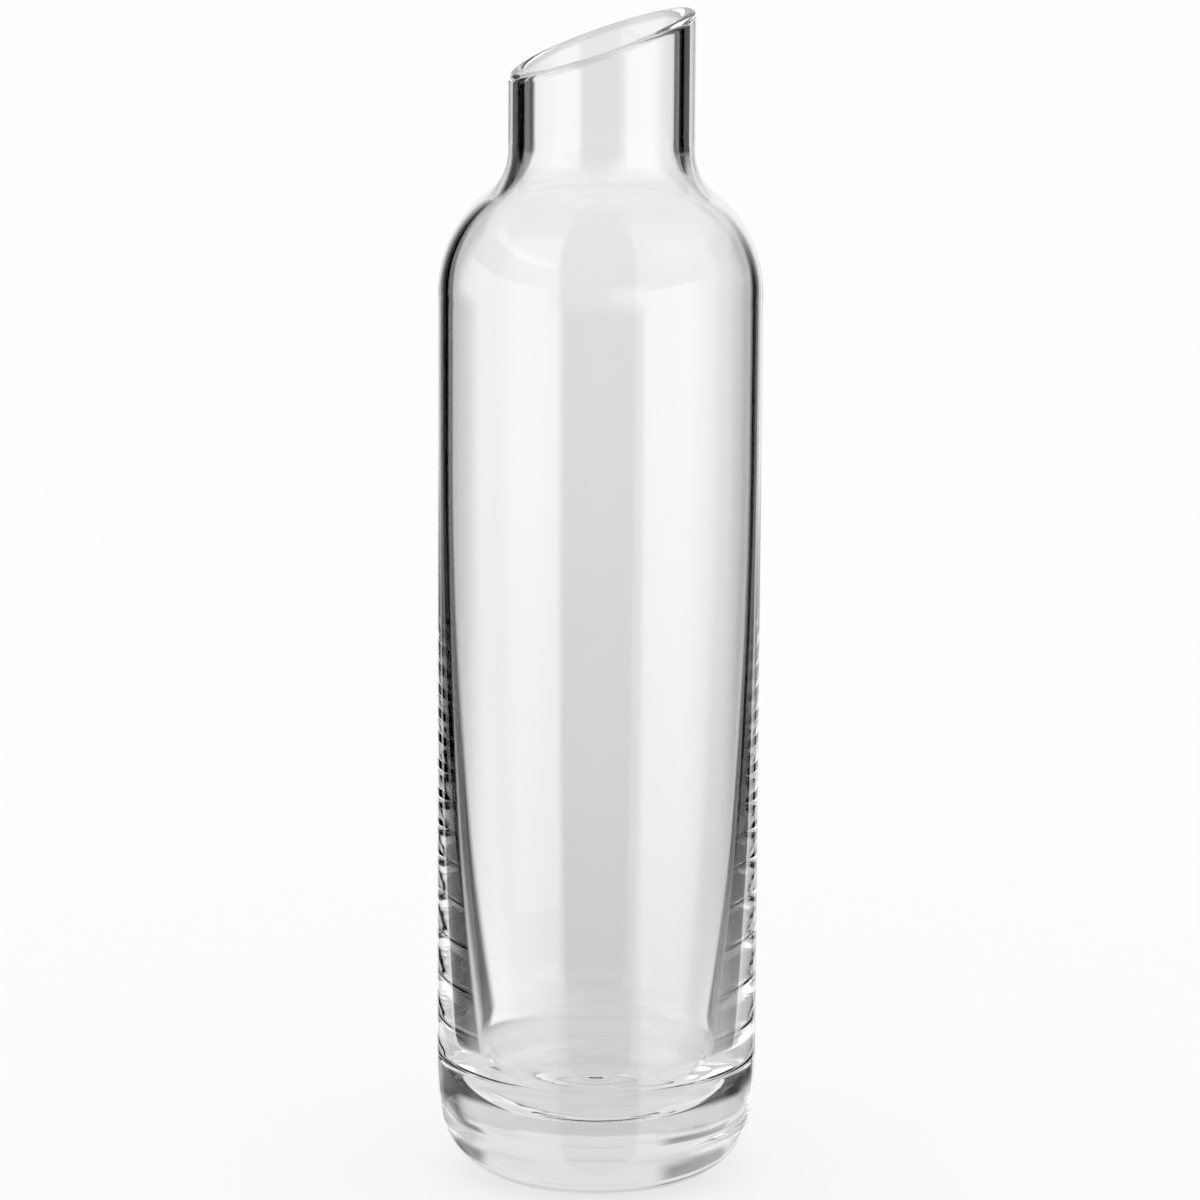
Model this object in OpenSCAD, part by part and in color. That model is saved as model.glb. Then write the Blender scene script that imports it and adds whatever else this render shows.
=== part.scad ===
// Water carafe of clear glass, blown as one solid piece on a thick, heavy base.
// A straight round body ends in a rounded shoulder and a short neck, and the mouth is
// cut at a slant, so that its high side is the pouring lip.
// +Z is up, +X is the pouring side, and the origin is the centre of the foot.

/* [Body] */
// Outside diameter of the straight body
body_d = 83; // [78:0.5:96]
// Height at which the straight body ends and the shoulder begins
shoulder_z = 233; // [200:1:250]
// Radius of the rounded shoulder
shoulder_r = 32; // [28:0.5:34]
// Radius of the long curve by which the body narrows above the corner
taper_r = 106; // [60:1:200]
// Angle through which that long curve turns
taper_angle = 7.6; // [4:0.2:10]
// Radius of the rounded corner between body and foot
corner_r = 19; // [12:0.1:22]

/* [Neck and mouth] */
// Outside diameter of the neck
neck_d = 47.6; // [42:0.2:52]
// Radius of the hollow curve that leads from the shoulder to the neck
neck_curve_r = 14.8; // [10:0.2:18]
// Length of the straight neck, from the end of the hollow curve to the mouth on the axis
neck_length = 28.2; // [20:0.2:60]
// Angle of the mouth's slant
mouth_angle = 19.5; // [5:0.5:25]

/* [Glass thickness] */
// Thickness of the neck, which is also the width of the rounded rim
neck_wall = 4.1; // [3:0.1:5]
// Thickness of the upper body
body_wall = 2.6; // [2:0.1:4]
// Height below which the body's wall thickens towards the base
thicken_z = 190; // [160:1:200]
// Radius of the long curve along which the wall thickens
thicken_r = 2050; // [1500:10:4000]
// Height below which the wall thickens faster
heavy_z = 95; // [80:1:110]
// Radius of the shorter curve along which it does so
heavy_r = 900; // [700:10:1400]
// Height of the inside floor at its lowest, which is the thickness of the base there
floor_z = 19.5; // [14:0.5:30]
// Radius of the curve between inside wall and inside floor
floor_curve_r = 20; // [12:0.5:22]
// Radius of the curve over which the inside floor rises towards the middle
dome_r = 10; // [6:0.5:30]
// Radius of the small round mark in the middle of the inside floor
mark_r = 5.5; // [3:0.5:7]
// Height of that mark
mark_rise = 0.8; // [0.4:0.1:1.5]

/* [Foot] */
// Radius of the shallow hollow under the base
hollow_r = 16; // [8:0.5:17]
// Depth of the shallow hollow under the base
hollow_depth = 1.2; // [0.4:0.1:3]

/* [Hidden] */
glass_colour = [0.86, 0.90, 0.91, 0.45];
body_r = body_d / 2;
neck_r = neck_d / 2;
bore_r = neck_r - neck_wall;
inner_r = body_r - body_wall;
turn_steps = 240;
arc_step = 3;
hollow_steps = 6;
taper_steps = 6;
thicken_steps = 12;
mark_steps = 6;
rim_step = 15;
overrun = 1;

// Points of an arc about [x, z], from one angle to another
function arc(x, z, r, from, to, step = arc_step) =
    let (count = max(2, ceil(abs(to - from) / step)))
    [for (i = [0:count]) let (a = from + (to - from) * i / count) [x + r * cos(a), z + r * sin(a)]];

// The shoulder's arc and the neck's hollow arc meet on the line between their centres.
// This is how far the neck arc's centre lies above the shoulder arc's, and the line's angle.
function rise(x_low, r_low, x_high, r_high) = sqrt(pow(r_low + r_high, 2) - pow(x_high - x_low, 2));
function lean(x_low, r_low, x_high, r_high) = atan2(rise(x_low, r_low, x_high, r_high), x_high - x_low);

neck_z = shoulder_z + rise(body_r - shoulder_r, shoulder_r, neck_r + neck_curve_r, neck_curve_r);
mouth_z = neck_z + neck_length;

// A shoulder from a wall of radius r_wall up to a neck of radius r_neck
function shoulder_points(r_wall, r_arc, r_neck, r_hollow) =
    let (
        x_low = r_wall - r_arc,
        x_high = r_neck + r_hollow,
        up = rise(x_low, r_arc, x_high, r_hollow),
        tilt = lean(x_low, r_arc, x_high, r_hollow)
    )
    concat(
        arc(x_low, shoulder_z, r_arc, 0, tilt),
        arc(x_high, shoulder_z + up, r_hollow, 180 + tilt, 180)
    );

// Underside: a shallow round hollow inside a flat ring that the carafe stands on
hollow_ball_r = (pow(hollow_r, 2) + pow(hollow_depth, 2)) / (2 * hollow_depth);
hollow_angle = asin(hollow_r / hollow_ball_r);
underside = arc(0, hollow_depth - hollow_ball_r, hollow_ball_r, 90, 90 - hollow_angle,
    hollow_angle / hollow_steps);

// Outside: the body narrows along a long curve, which the corner takes over without a crease
corner_x = body_r - (taper_r - corner_r) * (1 - cos(taper_angle)) - corner_r;
taper_z = corner_r + (taper_r - corner_r) * sin(taper_angle);
corner = arc(corner_x, corner_r, corner_r, -90, -taper_angle);
taper = arc(body_r - taper_r, taper_z, taper_r, -taper_angle, 0, taper_angle / taper_steps);
outer_shoulder = shoulder_points(body_r, shoulder_r, neck_r, neck_curve_r);

// Inside: the two thickening curves, the floor's curve, the rising floor and the mark in its
// middle follow each other without a crease
thicken_angle = asin((thicken_z - heavy_z) / thicken_r);
heavy_arc_x = inner_r - thicken_r + (thicken_r - heavy_r) * cos(thicken_angle);
heavy_arc_z = thicken_z - (thicken_r - heavy_r) * sin(thicken_angle);
floor_arc_z = floor_z + floor_curve_r;
heavy_angle = asin((heavy_arc_z - floor_arc_z) / (heavy_r - floor_curve_r));
floor_arc_x = heavy_arc_x + (heavy_r - floor_curve_r) * cos(heavy_angle);
inner_shoulder = shoulder_points(inner_r, shoulder_r - body_wall, bore_r, neck_curve_r + neck_wall);
thicken_curve = arc(inner_r - thicken_r, thicken_z, thicken_r, -thicken_angle, 0,
    thicken_angle / thicken_steps);
heavy_curve = arc(heavy_arc_x, heavy_arc_z, heavy_r, -heavy_angle, -thicken_angle,
    (heavy_angle - thicken_angle) / thicken_steps);
floor_slope = asin((floor_arc_x - mark_r) / (dome_r + floor_curve_r));
dome_z = floor_z + (dome_r + floor_curve_r) * (1 - cos(floor_slope));
mark_slope = 2 * atan(mark_rise / mark_r);
mark_arc_r = mark_r / (2 * sin(mark_slope));
mark = arc(0, dome_z + mark_rise - mark_arc_r, mark_arc_r, 90, 90 - mark_slope, mark_slope / mark_steps);
ring = arc(mark_r, dome_z + mark_arc_r, mark_arc_r, -90 - mark_slope, -90, mark_slope / mark_steps);
dome = arc(mark_r, dome_z - dome_r, dome_r, 90, 90 - floor_slope, floor_slope / mark_steps);
floor_curve = arc(floor_arc_x, floor_arc_z, floor_curve_r, -90 - floor_slope, -heavy_angle);

// The rim is a ring with a half-round top, whose middle follows the slanted mouth. Its narrower
// root reaches down into the neck's wall.
mouth_slope = tan(mouth_angle);
rim_r = neck_wall / 2;
rim_mid = neck_r - rim_r;
root_r = rim_r / 2;
tall_z = mouth_z + neck_d;

module outer_outline() {
    polygon(concat(underside, corner, taper, outer_shoulder, [[neck_r, tall_z], [0, tall_z]]));
}

module inner_outline() {
    polygon(concat(mark, ring, dome, floor_curve, heavy_curve, thicken_curve, inner_shoulder,
        [[bore_r, tall_z + overrun], [0, tall_z + overrun]]));
}

// Leans what is drawn level so that its height follows the slanted mouth
module slanted() {
    multmatrix([[1, 0, 0, 0], [0, 1, 0, 0], [mouth_slope, 0, 1, 0], [0, 0, 0, 1]]) children();
}

// Everything above the plane on which the half-round rim stands
module above_mouth() {
    translate([0, 0, mouth_z - rim_r])
        rotate([0, -mouth_angle, 0])
            translate([-body_d, -body_d, 0])
                cube([2 * body_d, 2 * body_d, 2 * tall_z]);
}

module rim_outline() {
    polygon(concat(
        arc(rim_mid, 0, rim_r, 0, 180, rim_step),
        [[rim_mid - root_r, -rim_r], [rim_mid + root_r, -rim_r]]
    ));
}

module rim() {
    slanted()
        translate([0, 0, mouth_z - rim_r])
            rotate_extrude($fn = turn_steps) rim_outline();
}

module carafe_glass() {
    color(glass_colour) {
        difference() {
            rotate_extrude($fn = turn_steps) outer_outline();
            rotate_extrude($fn = turn_steps) inner_outline();
            above_mouth();
        }
        rim();
    }
}

carafe_glass();
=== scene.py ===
"""Clear glass water carafe on a pale floor, in the even light of a bright-field glass studio."""
import math
from collections import namedtuple

import bpy
from mathutils import Matrix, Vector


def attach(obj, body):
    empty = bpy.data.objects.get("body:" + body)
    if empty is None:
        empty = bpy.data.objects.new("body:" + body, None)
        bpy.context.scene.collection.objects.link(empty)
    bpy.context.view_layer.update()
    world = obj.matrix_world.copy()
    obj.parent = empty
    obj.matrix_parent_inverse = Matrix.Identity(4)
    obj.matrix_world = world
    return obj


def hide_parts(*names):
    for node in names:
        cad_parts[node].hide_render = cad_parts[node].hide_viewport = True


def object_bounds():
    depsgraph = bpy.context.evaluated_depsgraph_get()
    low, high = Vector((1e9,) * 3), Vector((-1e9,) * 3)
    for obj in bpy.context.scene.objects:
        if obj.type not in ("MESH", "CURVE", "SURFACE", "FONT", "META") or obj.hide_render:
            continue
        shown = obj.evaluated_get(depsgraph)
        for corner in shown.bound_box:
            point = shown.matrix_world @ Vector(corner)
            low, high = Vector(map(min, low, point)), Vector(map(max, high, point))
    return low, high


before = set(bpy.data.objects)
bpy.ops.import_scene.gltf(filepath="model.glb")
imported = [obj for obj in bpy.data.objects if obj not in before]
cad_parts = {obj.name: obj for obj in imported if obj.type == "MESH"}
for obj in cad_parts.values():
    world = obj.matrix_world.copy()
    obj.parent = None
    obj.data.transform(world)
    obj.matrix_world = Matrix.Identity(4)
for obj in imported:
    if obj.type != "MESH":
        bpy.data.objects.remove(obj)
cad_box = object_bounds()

MM = 0.001
FULL_TURN = 2 * math.pi
HALF_TURN = math.pi
QUARTER_TURN = math.pi / 2

# Sizes of the glass, in metres: the same as the solid's
BODY_R = cad_box[1].x
SHOULDER_Z = 233 * MM
SHOULDER_R = 32 * MM
TAPER_R = 106 * MM
TAPER_ANGLE = math.radians(7.6)
CORNER_R = 19 * MM
NECK_R = 23.8 * MM
NECK_CURVE_R = 14.8 * MM
NECK_LENGTH = 28.2 * MM
MOUTH_ANGLE = math.radians(19.5)
NECK_WALL = 4.1 * MM
BODY_WALL = 2.6 * MM
THICKEN_Z = 190 * MM
THICKEN_R = 2050 * MM
HEAVY_Z = 95 * MM
HEAVY_R = 900 * MM
INNER_FLOOR_Z = 19.5 * MM
INNER_FLOOR_CURVE_R = 20 * MM
DOME_R = 10 * MM
MARK_R = 5.5 * MM
MARK_RISE = 0.8 * MM
HOLLOW_R = 16 * MM
HOLLOW_DEPTH = 1.2 * MM

BORE_R = NECK_R - NECK_WALL
INNER_R = BODY_R - BODY_WALL
INNER_SHOULDER_R = SHOULDER_R - BODY_WALL
BORE_CURVE_R = NECK_CURVE_R + NECK_WALL
RIM_R = NECK_WALL / 2

# Steps in which the glass is turned and its curves are drawn
TURN_STEPS = 312
ARC_STEP = math.radians(2.5)
RIM_STEP = math.radians(10)
HOLLOW_STEPS = 12
TAPER_STEPS = 8
WALL_STEPS = 20
DOME_STEPS = 12
MARK_STEPS = 8

# Points closer than this are one point
SEAM_GAP = MM / 1000

# Where the points of a straight stretch stand: closer near its ends, so that shading stays true
# to the curves there
STRAIGHT_SHARES = (0.01, 0.03, 0.1, 0.3, 0.5, 0.7, 0.9, 0.97, 0.99)

# The camera: where it stands and how it looks, in metres and radians, and its lens in picture pixels
CAMERA_DISTANCE = 1.85
CAMERA_HEIGHT = 0.5816
CAMERA_PITCH = 0.228
CAMERA_ROLL = 0.006
CAMERA_SIDE = 0.0003
CAMERA_REACH = 100
FRAME_PIXELS = 1200
FOCAL_PIXELS = 7373
SENSOR_WIDTH = 36


def set_camera():
    bpy.ops.object.camera_add()
    camera = bpy.context.object
    camera.name = "camera"
    camera.location = (CAMERA_SIDE, -CAMERA_DISTANCE, CAMERA_HEIGHT)
    pitch = Matrix.Rotation(QUARTER_TURN - CAMERA_PITCH, 3, "X")
    roll = Matrix.Rotation(CAMERA_ROLL, 3, "Z")
    camera.rotation_euler = (pitch @ roll).to_euler()
    camera.data.sensor_width = SENSOR_WIDTH
    camera.data.lens = FOCAL_PIXELS * SENSOR_WIDTH / FRAME_PIXELS
    camera.data.clip_end = CAMERA_REACH
    bpy.context.scene.camera = camera


def deselect_all():
    bpy.ops.object.select_all(action="DESELECT")


def arc(x, z, radius, start, end, step=ARC_STEP):
    """Points of an arc about (x, z), from one angle to another."""
    count = max(2, math.ceil(abs(end - start) / step))
    turns = [start + (end - start) * i / count for i in range(count + 1)]
    return [(x + radius * math.cos(a), z + radius * math.sin(a)) for a in turns]


def straight(start, end):
    """Points between two others, without those two."""
    return [tuple(a + (b - a) * share for a, b in zip(start, end)) for share in STRAIGHT_SHARES]


def rise(x_low, r_low, x_high, r_high):
    """How far the upper of two touching arcs' centres lies above the lower one's."""
    return math.sqrt((r_low + r_high) ** 2 - (x_high - x_low) ** 2)


def shoulder(r_wall, r_arc, r_neck, r_hollow):
    """Points from the end of a wall, round the shoulder and the hollow curve, to the neck."""
    x_low, x_high = r_wall - r_arc, r_neck + r_hollow
    up = rise(x_low, r_arc, x_high, r_hollow)
    lean = math.atan2(up, x_high - x_low)
    low = arc(x_low, SHOULDER_Z, r_arc, 0, lean)
    high = arc(x_high, SHOULDER_Z + up, r_hollow, HALF_TURN + lean, HALF_TURN)
    return low + high[1:]


NECK_Z = SHOULDER_Z + rise(BODY_R - SHOULDER_R, SHOULDER_R, NECK_R + NECK_CURVE_R, NECK_CURVE_R)
MOUTH_Z = NECK_Z + NECK_LENGTH


def outside_curves():
    """The hollow under the foot, the corner with the taper above it, and the shoulder."""
    ball_r = (HOLLOW_R**2 + HOLLOW_DEPTH**2) / (2 * HOLLOW_DEPTH)
    ball_z = HOLLOW_DEPTH - ball_r
    turn = math.asin(HOLLOW_R / ball_r)
    hollow = arc(0, ball_z, ball_r, QUARTER_TURN, QUARTER_TURN - turn, turn / HOLLOW_STEPS)
    corner_x = BODY_R - (TAPER_R - CORNER_R) * (1 - math.cos(TAPER_ANGLE)) - CORNER_R
    corner = arc(corner_x, CORNER_R, CORNER_R, -QUARTER_TURN, -TAPER_ANGLE)
    taper_z = CORNER_R + (TAPER_R - CORNER_R) * math.sin(TAPER_ANGLE)
    taper = arc(BODY_R - TAPER_R, taper_z, TAPER_R, -TAPER_ANGLE, 0, TAPER_ANGLE / TAPER_STEPS)
    return [hollow, corner + taper[1:], shoulder(BODY_R, SHOULDER_R, NECK_R, NECK_CURVE_R)]


def inner_floor_points(x, z, start):
    """The curve about (x, z) from the wall to the inside floor, the rising floor and its mark."""
    slope = math.asin((x - MARK_R) / (DOME_R + INNER_FLOOR_CURVE_R))
    floor_curve = arc(x, z, INNER_FLOOR_CURVE_R, start, -QUARTER_TURN - slope)
    top_z = INNER_FLOOR_Z + (DOME_R + INNER_FLOOR_CURVE_R) * (1 - math.cos(slope))
    dome_start = QUARTER_TURN - slope
    dome = arc(MARK_R, top_z - DOME_R, DOME_R, dome_start, QUARTER_TURN, slope / DOME_STEPS)
    turn = 2 * math.atan(MARK_RISE / MARK_R)
    radius = MARK_R / (2 * math.sin(turn))
    step = turn / MARK_STEPS
    ring = arc(MARK_R, top_z + radius, radius, -QUARTER_TURN, -QUARTER_TURN - turn, step)
    mark = arc(0, top_z + MARK_RISE - radius, radius, QUARTER_TURN - turn, QUARTER_TURN, step)
    return floor_curve + dome[1:] + ring[1:] + mark[1:]


def inside_curves():
    """The shoulder, and the wall that thickens along two curves and leads into the floor."""
    upper = shoulder(INNER_R, INNER_SHOULDER_R, BORE_R, BORE_CURVE_R)[::-1]
    turn = math.asin((THICKEN_Z - HEAVY_Z) / THICKEN_R)
    wall = arc(INNER_R - THICKEN_R, THICKEN_Z, THICKEN_R, 0, -turn, turn / WALL_STEPS)
    heavy_x = INNER_R - THICKEN_R + (THICKEN_R - HEAVY_R) * math.cos(turn)
    heavy_z = THICKEN_Z - (THICKEN_R - HEAVY_R) * math.sin(turn)
    floor_arc_z = INNER_FLOOR_Z + INNER_FLOOR_CURVE_R
    tilt = math.asin((heavy_z - floor_arc_z) / (HEAVY_R - INNER_FLOOR_CURVE_R))
    heavy_wall = arc(heavy_x, heavy_z, HEAVY_R, -turn, -tilt, (tilt - turn) / WALL_STEPS)
    floor_arc_x = heavy_x + (HEAVY_R - INNER_FLOOR_CURVE_R) * math.cos(tilt)
    return [upper, wall + heavy_wall[1:] + inner_floor_points(floor_arc_x, floor_arc_z, -tilt)[1:]]


def glass_outline():
    """Half of the glass's section, from the middle of the foot to the middle of the inside floor."""
    rim = arc(NECK_R - RIM_R, MOUTH_Z - RIM_R, RIM_R, 0, HALF_TURN, RIM_STEP)
    points = []
    for curve in outside_curves() + [rim] + inside_curves():
        if points:
            points += straight(points[-1], curve[0])
        points += curve
    return points


def draw_outline(name, points):
    """Edges through points in the XZ plane: a small square is merged to one vertex and extruded."""
    deselect_all()
    bpy.ops.mesh.primitive_plane_add(size=MM, location=(points[0][0], 0, points[0][1]))
    piece = bpy.context.object
    piece.name = name
    bpy.ops.object.transform_apply(location=True, rotation=True, scale=True)
    bpy.ops.object.mode_set(mode="EDIT")
    bpy.ops.mesh.select_mode(type="VERT")
    bpy.ops.mesh.select_all(action="SELECT")
    bpy.ops.mesh.merge(type="CENTER")
    for (x0, z0), (x1, z1) in zip(points, points[1:]):
        move = {"value": (x1 - x0, 0, z1 - z0)}
        bpy.ops.mesh.extrude_region_move(TRANSFORM_OT_translate=move)
    return piece


def spin_outline():
    """Turns the outline in hand about the Z axis, and closes the seam and the poles."""
    bpy.ops.mesh.select_all(action="SELECT")
    bpy.ops.mesh.spin(steps=TURN_STEPS, angle=FULL_TURN, center=(0, 0, 0), axis=(0, 0, 1))
    bpy.ops.mesh.select_all(action="SELECT")
    bpy.ops.mesh.remove_doubles(threshold=SEAM_GAP)
    bpy.ops.mesh.normals_make_consistent(inside=False)
    bpy.ops.object.mode_set(mode="OBJECT")


def slant_neck(piece):
    """Raises the neck on the pouring side and lowers it opposite, so that the mouth slants."""
    slope = math.tan(MOUTH_ANGLE)
    up = rise(INNER_R - INNER_SHOULDER_R, INNER_SHOULDER_R, BORE_R + BORE_CURVE_R, BORE_CURVE_R)
    start, end = SHOULDER_Z + up, MOUTH_Z - RIM_R
    for vertex in piece.data.vertices:
        share = min(max((vertex.co.z - start) / (end - start), 0), 1)
        vertex.co.z += share * slope * vertex.co.x


WHITE = (1, 1, 1, 1)

# The glass is almost without colour. Clouds of a barely grey tint run through it, where the noise
# goes from one value to the other, and its surface waves very slightly, as blown glass does.
GLASS_IOR = 1.5
TINT = (0.99, 0.994, 0.992, 1)
TINT_FROM = 0.35
TINT_TO = 0.65
CLOUDS_PER_METRE = 14
WAVES_PER_METRE = 30
WAVE_HEIGHT = 0.01 * MM
NOISE_DETAIL = 1


def glass_material():
    material = bpy.data.materials.new("clear_glass")
    material.use_nodes = True
    nodes, links = material.node_tree.nodes, material.node_tree.links
    place = nodes.new("ShaderNodeTexCoord").outputs["Object"]

    def noise(per_metre):
        node = nodes.new("ShaderNodeTexNoise")
        node.inputs["Scale"].default_value = per_metre
        node.inputs["Detail"].default_value = NOISE_DETAIL
        links.new(place, node.inputs["Vector"])
        return node.outputs[0]

    tint = nodes.new("ShaderNodeValToRGB")
    clear, tinted = tint.color_ramp.elements
    clear.position, clear.color = TINT_FROM, WHITE
    tinted.position, tinted.color = TINT_TO, TINT
    links.new(noise(CLOUDS_PER_METRE), tint.inputs[0])

    wave = nodes.new("ShaderNodeBump")
    wave.inputs["Strength"].default_value = 1
    wave.inputs["Distance"].default_value = WAVE_HEIGHT
    links.new(noise(WAVES_PER_METRE), wave.inputs["Height"])

    shader = nodes["Principled BSDF"]
    shader.inputs["Roughness"].default_value = 0
    shader.inputs["IOR"].default_value = GLASS_IOR
    shader.inputs["Transmission Weight"].default_value = 1
    links.new(tint.outputs[0], shader.inputs["Base Color"])
    links.new(wave.outputs[0], shader.inputs["Normal"])
    return material


def make_carafe():
    carafe = draw_outline("carafe", glass_outline())
    spin_outline()
    slant_neck(carafe)
    bpy.ops.object.shade_smooth()
    carafe.data.materials.append(glass_material())
    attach(carafe, "root")
    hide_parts("carafe_glass")


# How wide the floor is, in metres, how bright, how much of that is its own glow, and the light on it
FLOOR_WIDTH = 12.0
FLOOR_TONE = 0.985
FLOOR_GLOW = 0.7
FLOOR_LIGHT = 1.0
FLOOR_ROUGHNESS = 0.8


def floor_material():
    """White acrylic, lit mostly from below, so that the carafe's shadow on it stays faint."""
    material = bpy.data.materials.new("floor_white")
    material.use_nodes = True
    shader = material.node_tree.nodes["Principled BSDF"]
    tone = FLOOR_TONE - FLOOR_GLOW
    shader.inputs["Base Color"].default_value = (tone, tone, tone, 1)
    shader.inputs["Emission Color"].default_value = WHITE
    shader.inputs["Emission Strength"].default_value = FLOOR_GLOW
    shader.inputs["Roughness"].default_value = FLOOR_ROUGHNESS
    shader.inputs["Specular IOR Level"].default_value = 0
    return material


def make_floor():
    """The floor that carries the carafe. The glass sees the studio's panels in its place."""
    deselect_all()
    bpy.ops.mesh.primitive_plane_add(size=FLOOR_WIDTH, location=(0, 0, 0))
    floor = bpy.context.object
    floor.name = "floor"
    floor.data.materials.append(floor_material())
    floor.visible_transmission = False
    floor.visible_glossy = False


# The studio that the glass sees: large soft panels far away, each in front of those named before
# it. A panel reaches from one azimuth to another, with soft side edges, and from one elevation to
# another, with soft level edges, and its tone is its brightness. All angles are in degrees. Azimuth
# is counted from straight behind the carafe, as the camera sees it, towards the right.
Panel = namedtuple("Panel", "name left right side_edge low high level_edge tone")
HALF_ROUND = 180
SURROUND_TONE = 0.71
PANELS = [
    Panel("below", -180, 180, 10, -95, -20, 5, 0.67),
    Panel("left wall", -170, -73, 15, -50, -1, 15, 1.1),
    Panel("right wall", 3, 184, 13, -45, 12, 38, 0.73),
    Panel("left softbox", -141, -65, 15, -36, 40, 3, 1.36),
    Panel("right softbox", 102, 172, 24, -38, 21, 5, 1.64),
    Panel("front", 148.5, 207, 6, -76, 1, 27, 0.0),
    Panel("above", -140, 149, 36, 16, 34, 2, 0.6),
    Panel("overhead", -22, 21, 1.5, 38, 63, 2, 0.0),
    Panel("upper left flag", -56, -19.5, 10, -12, 27, 3, 0.0),
    Panel("upper right flag", 36.5, 59, 16, 2, 16, 2, 0.02),
    Panel("left flag", -76, -1, 19, -33, -5, 10, 0.0),
    Panel("right flag", -21, 70, 14, -31, 6, 24, 0.0),
    Panel("backdrop", -16, 22, 4, -34, 17.4, 2, 0.89),
    Panel("backdrop, middle", -7, 18, 12, -75, -15, 21, 0.69),
]

# What light sees in the panels' place when it has gone straight through the glass: through the four
# faces of the two walls, so that the carafe is clear from its sides and back too, or through the two
# faces of the solid base. Light that passes the open mouth and one wall crosses two faces as well.
WALL_FACES = 4
BEHIND_THE_WALLS = [
    Panel("behind the left flag", -62, -28, 10, -40, -17, 4, 0.85),
    Panel("behind the softboxes", 65, 295, 20, -50, 50, 20, 0.88),
]
BASE_FACES = 2
BEHIND_THE_BASE = [
    Panel("behind the flags, low", -60, 48, 10, -4, 7, 4, 0.6),
    Panel("behind the flags, high", -60, 48, 10, 7, 24, 4, 0.75),
    Panel("left strip", -50, -20, 8, 11.5, 18, 3, 0.28),
    Panel("right strip", 39, 60, 8, 12, 18, 3, 0.14),
]

# How near a number has to be to a count of faces or mirrors to stand for it
COUNT_SLACK = 0.5


class NodeSums:
    """Writes sums as Math nodes in a node tree."""

    def __init__(self, tree):
        self.tree = tree

    def put(self, socket, value):
        if isinstance(value, (int, float)):
            socket.default_value = value
        else:
            self.tree.links.new(value, socket)

    def math(self, operation, *values):
        node = self.tree.nodes.new("ShaderNodeMath")
        node.operation = operation
        for socket, value in zip(node.inputs, values):
            self.put(socket, value)
        return node.outputs[0]

    def ramp(self, value, start, end):
        """Rises smoothly from 0 to 1 as the value goes from start to end."""
        node = self.tree.nodes.new("ShaderNodeMapRange")
        node.interpolation_type = "SMOOTHSTEP"
        for name, number in (("Value", value), ("From Min", start), ("From Max", end)):
            self.put(node.inputs[name], number)
        return node.outputs["Result"]

    def swap(self, share, new, old):
        """The old value where the share is 0, and the new one where it is 1."""
        return self.math("MULTIPLY_ADD", share, self.math("SUBTRACT", new, old), old)


def panel_cover(sums, azimuth, elevation, panel):
    """How far a panel covers the direction that a ray looks in, from 0 to 1."""
    turned = sums.math("SUBTRACT", azimuth, (panel.left + panel.right) / 2)
    away = sums.math("ABSOLUTE", sums.math("WRAP", turned, HALF_ROUND, -HALF_ROUND))
    half = (panel.right - panel.left) / 2
    side, level = panel.side_edge / 2, panel.level_edge / 2
    across = 1 if half >= HALF_ROUND else sums.ramp(away, half + side, half - side)
    above = sums.ramp(elevation, panel.low - level, panel.low + level)
    below = sums.ramp(elevation, panel.high + level, panel.high - level)
    cover = sums.math("MULTIPLY", across, sums.math("MULTIPLY", above, below))
    cover.node.label = panel.name
    return cover


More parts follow.
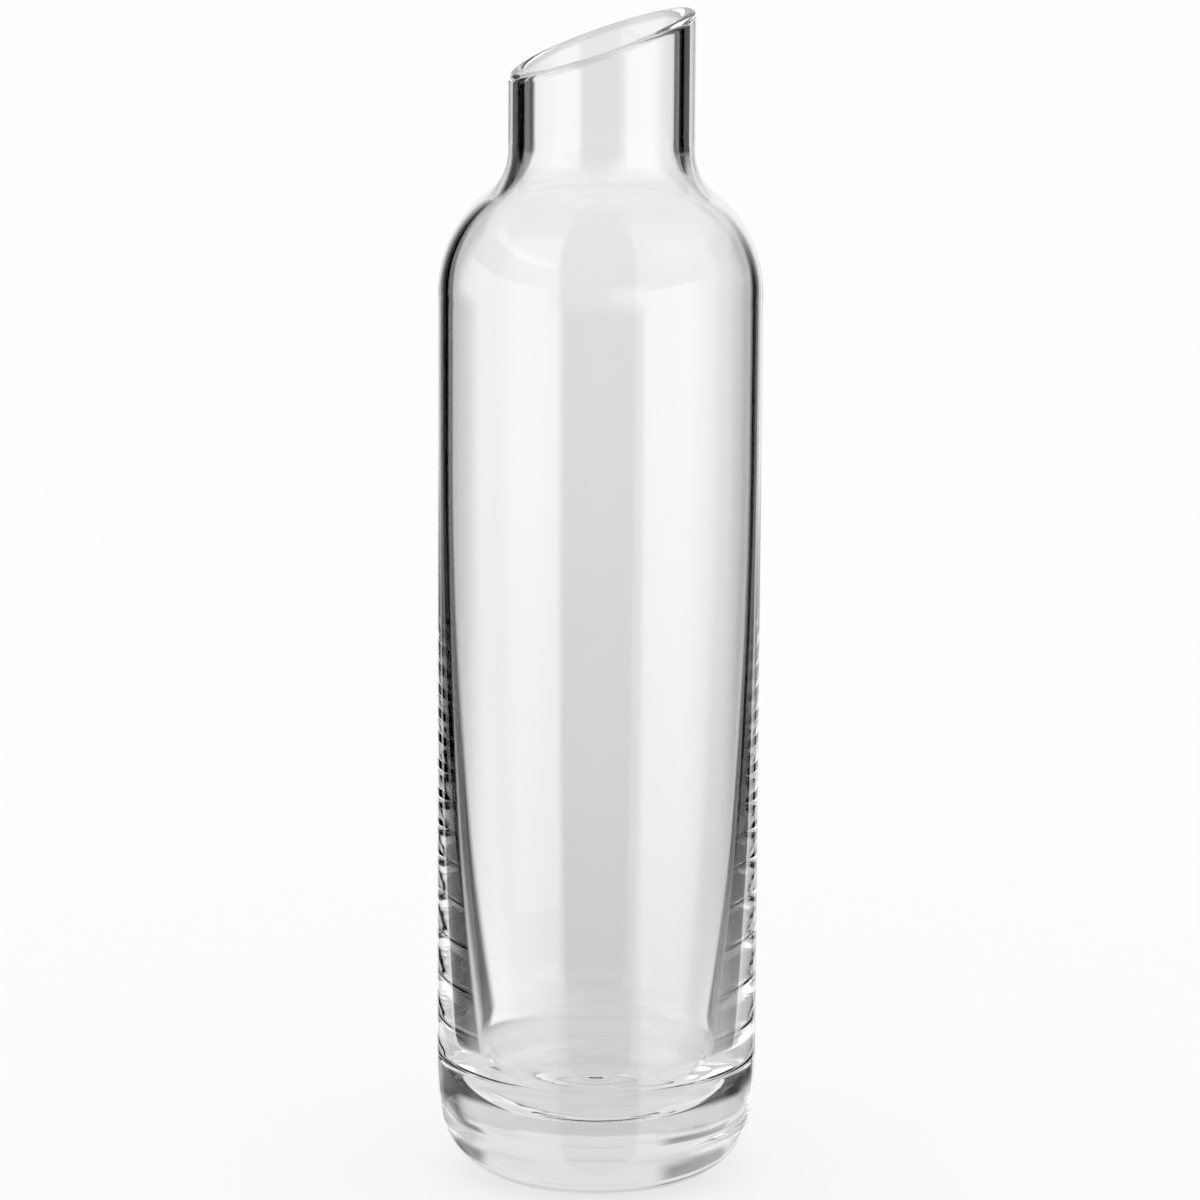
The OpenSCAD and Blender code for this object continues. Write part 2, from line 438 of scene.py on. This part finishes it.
def straight_through(sums, path, faces):
    """1 for light that has crossed so many faces of the glass and was never mirrored, otherwise 0."""
    crossed = sums.math("COMPARE", path.outputs["Transmission Depth"], faces, COUNT_SLACK)
    unmirrored = sums.math("COMPARE", path.outputs["Glossy Depth"], 0, COUNT_SLACK)
    return sums.math("MULTIPLY", crossed, unmirrored)


def studio_tone(sums, path):
    """The brightness of the studio in the direction that a ray looks."""
    look = sums.tree.nodes.new("ShaderNodeTexCoord")
    parts = sums.tree.nodes.new("ShaderNodeSeparateXYZ")
    sums.tree.links.new(look.outputs["Generated"], parts.inputs[0])
    x, y, z = parts.outputs
    azimuth = sums.math("DEGREES", sums.math("ARCTAN2", x, y))
    elevation = sums.math("DEGREES", sums.math("ARCSINE", z))
    tone = SURROUND_TONE
    for panel in PANELS:
        tone = sums.swap(panel_cover(sums, azimuth, elevation, panel), panel.tone, tone)
    for faces, panels in ((WALL_FACES, BEHIND_THE_WALLS), (BASE_FACES, BEHIND_THE_BASE)):
        through = straight_through(sums, path, faces)
        for panel in panels:
            cover = panel_cover(sums, azimuth, elevation, panel)
            tone = sums.swap(sums.math("MULTIPLY", through, cover), panel.tone, tone)
    return tone


def set_world():
    """The glass sees the studio, the floor gets even light, and the background is as pale as it."""
    world = bpy.data.worlds.new("studio")
    bpy.context.scene.world = world
    world.cycles.sampling_method = "NONE"
    world.use_nodes = True
    sums = NodeSums(world.node_tree)
    path = sums.tree.nodes.new("ShaderNodeLightPath")
    tone = studio_tone(sums, path)
    tone = sums.swap(path.outputs["Is Diffuse Ray"], FLOOR_LIGHT, tone)
    tone = sums.swap(path.outputs["Is Camera Ray"], FLOOR_TONE, tone)
    light = sums.tree.nodes["Background"]
    light.inputs["Color"].default_value = WHITE
    sums.tree.links.new(tone, light.inputs["Strength"])


# How often light may pass or leave a surface before it is given up
GLASS_BOUNCES = 48
MIRROR_BOUNCES = 32
FLOOR_BOUNCES = 4


def set_render():
    scene = bpy.context.scene
    scene.view_settings.view_transform = "Standard"
    scene.view_settings.look = "None"
    scene.cycles.max_bounces = GLASS_BOUNCES
    scene.cycles.transmission_bounces = GLASS_BOUNCES
    scene.cycles.glossy_bounces = MIRROR_BOUNCES
    scene.cycles.diffuse_bounces = FLOOR_BOUNCES


set_camera()
make_carafe()
make_floor()
set_world()
set_render()
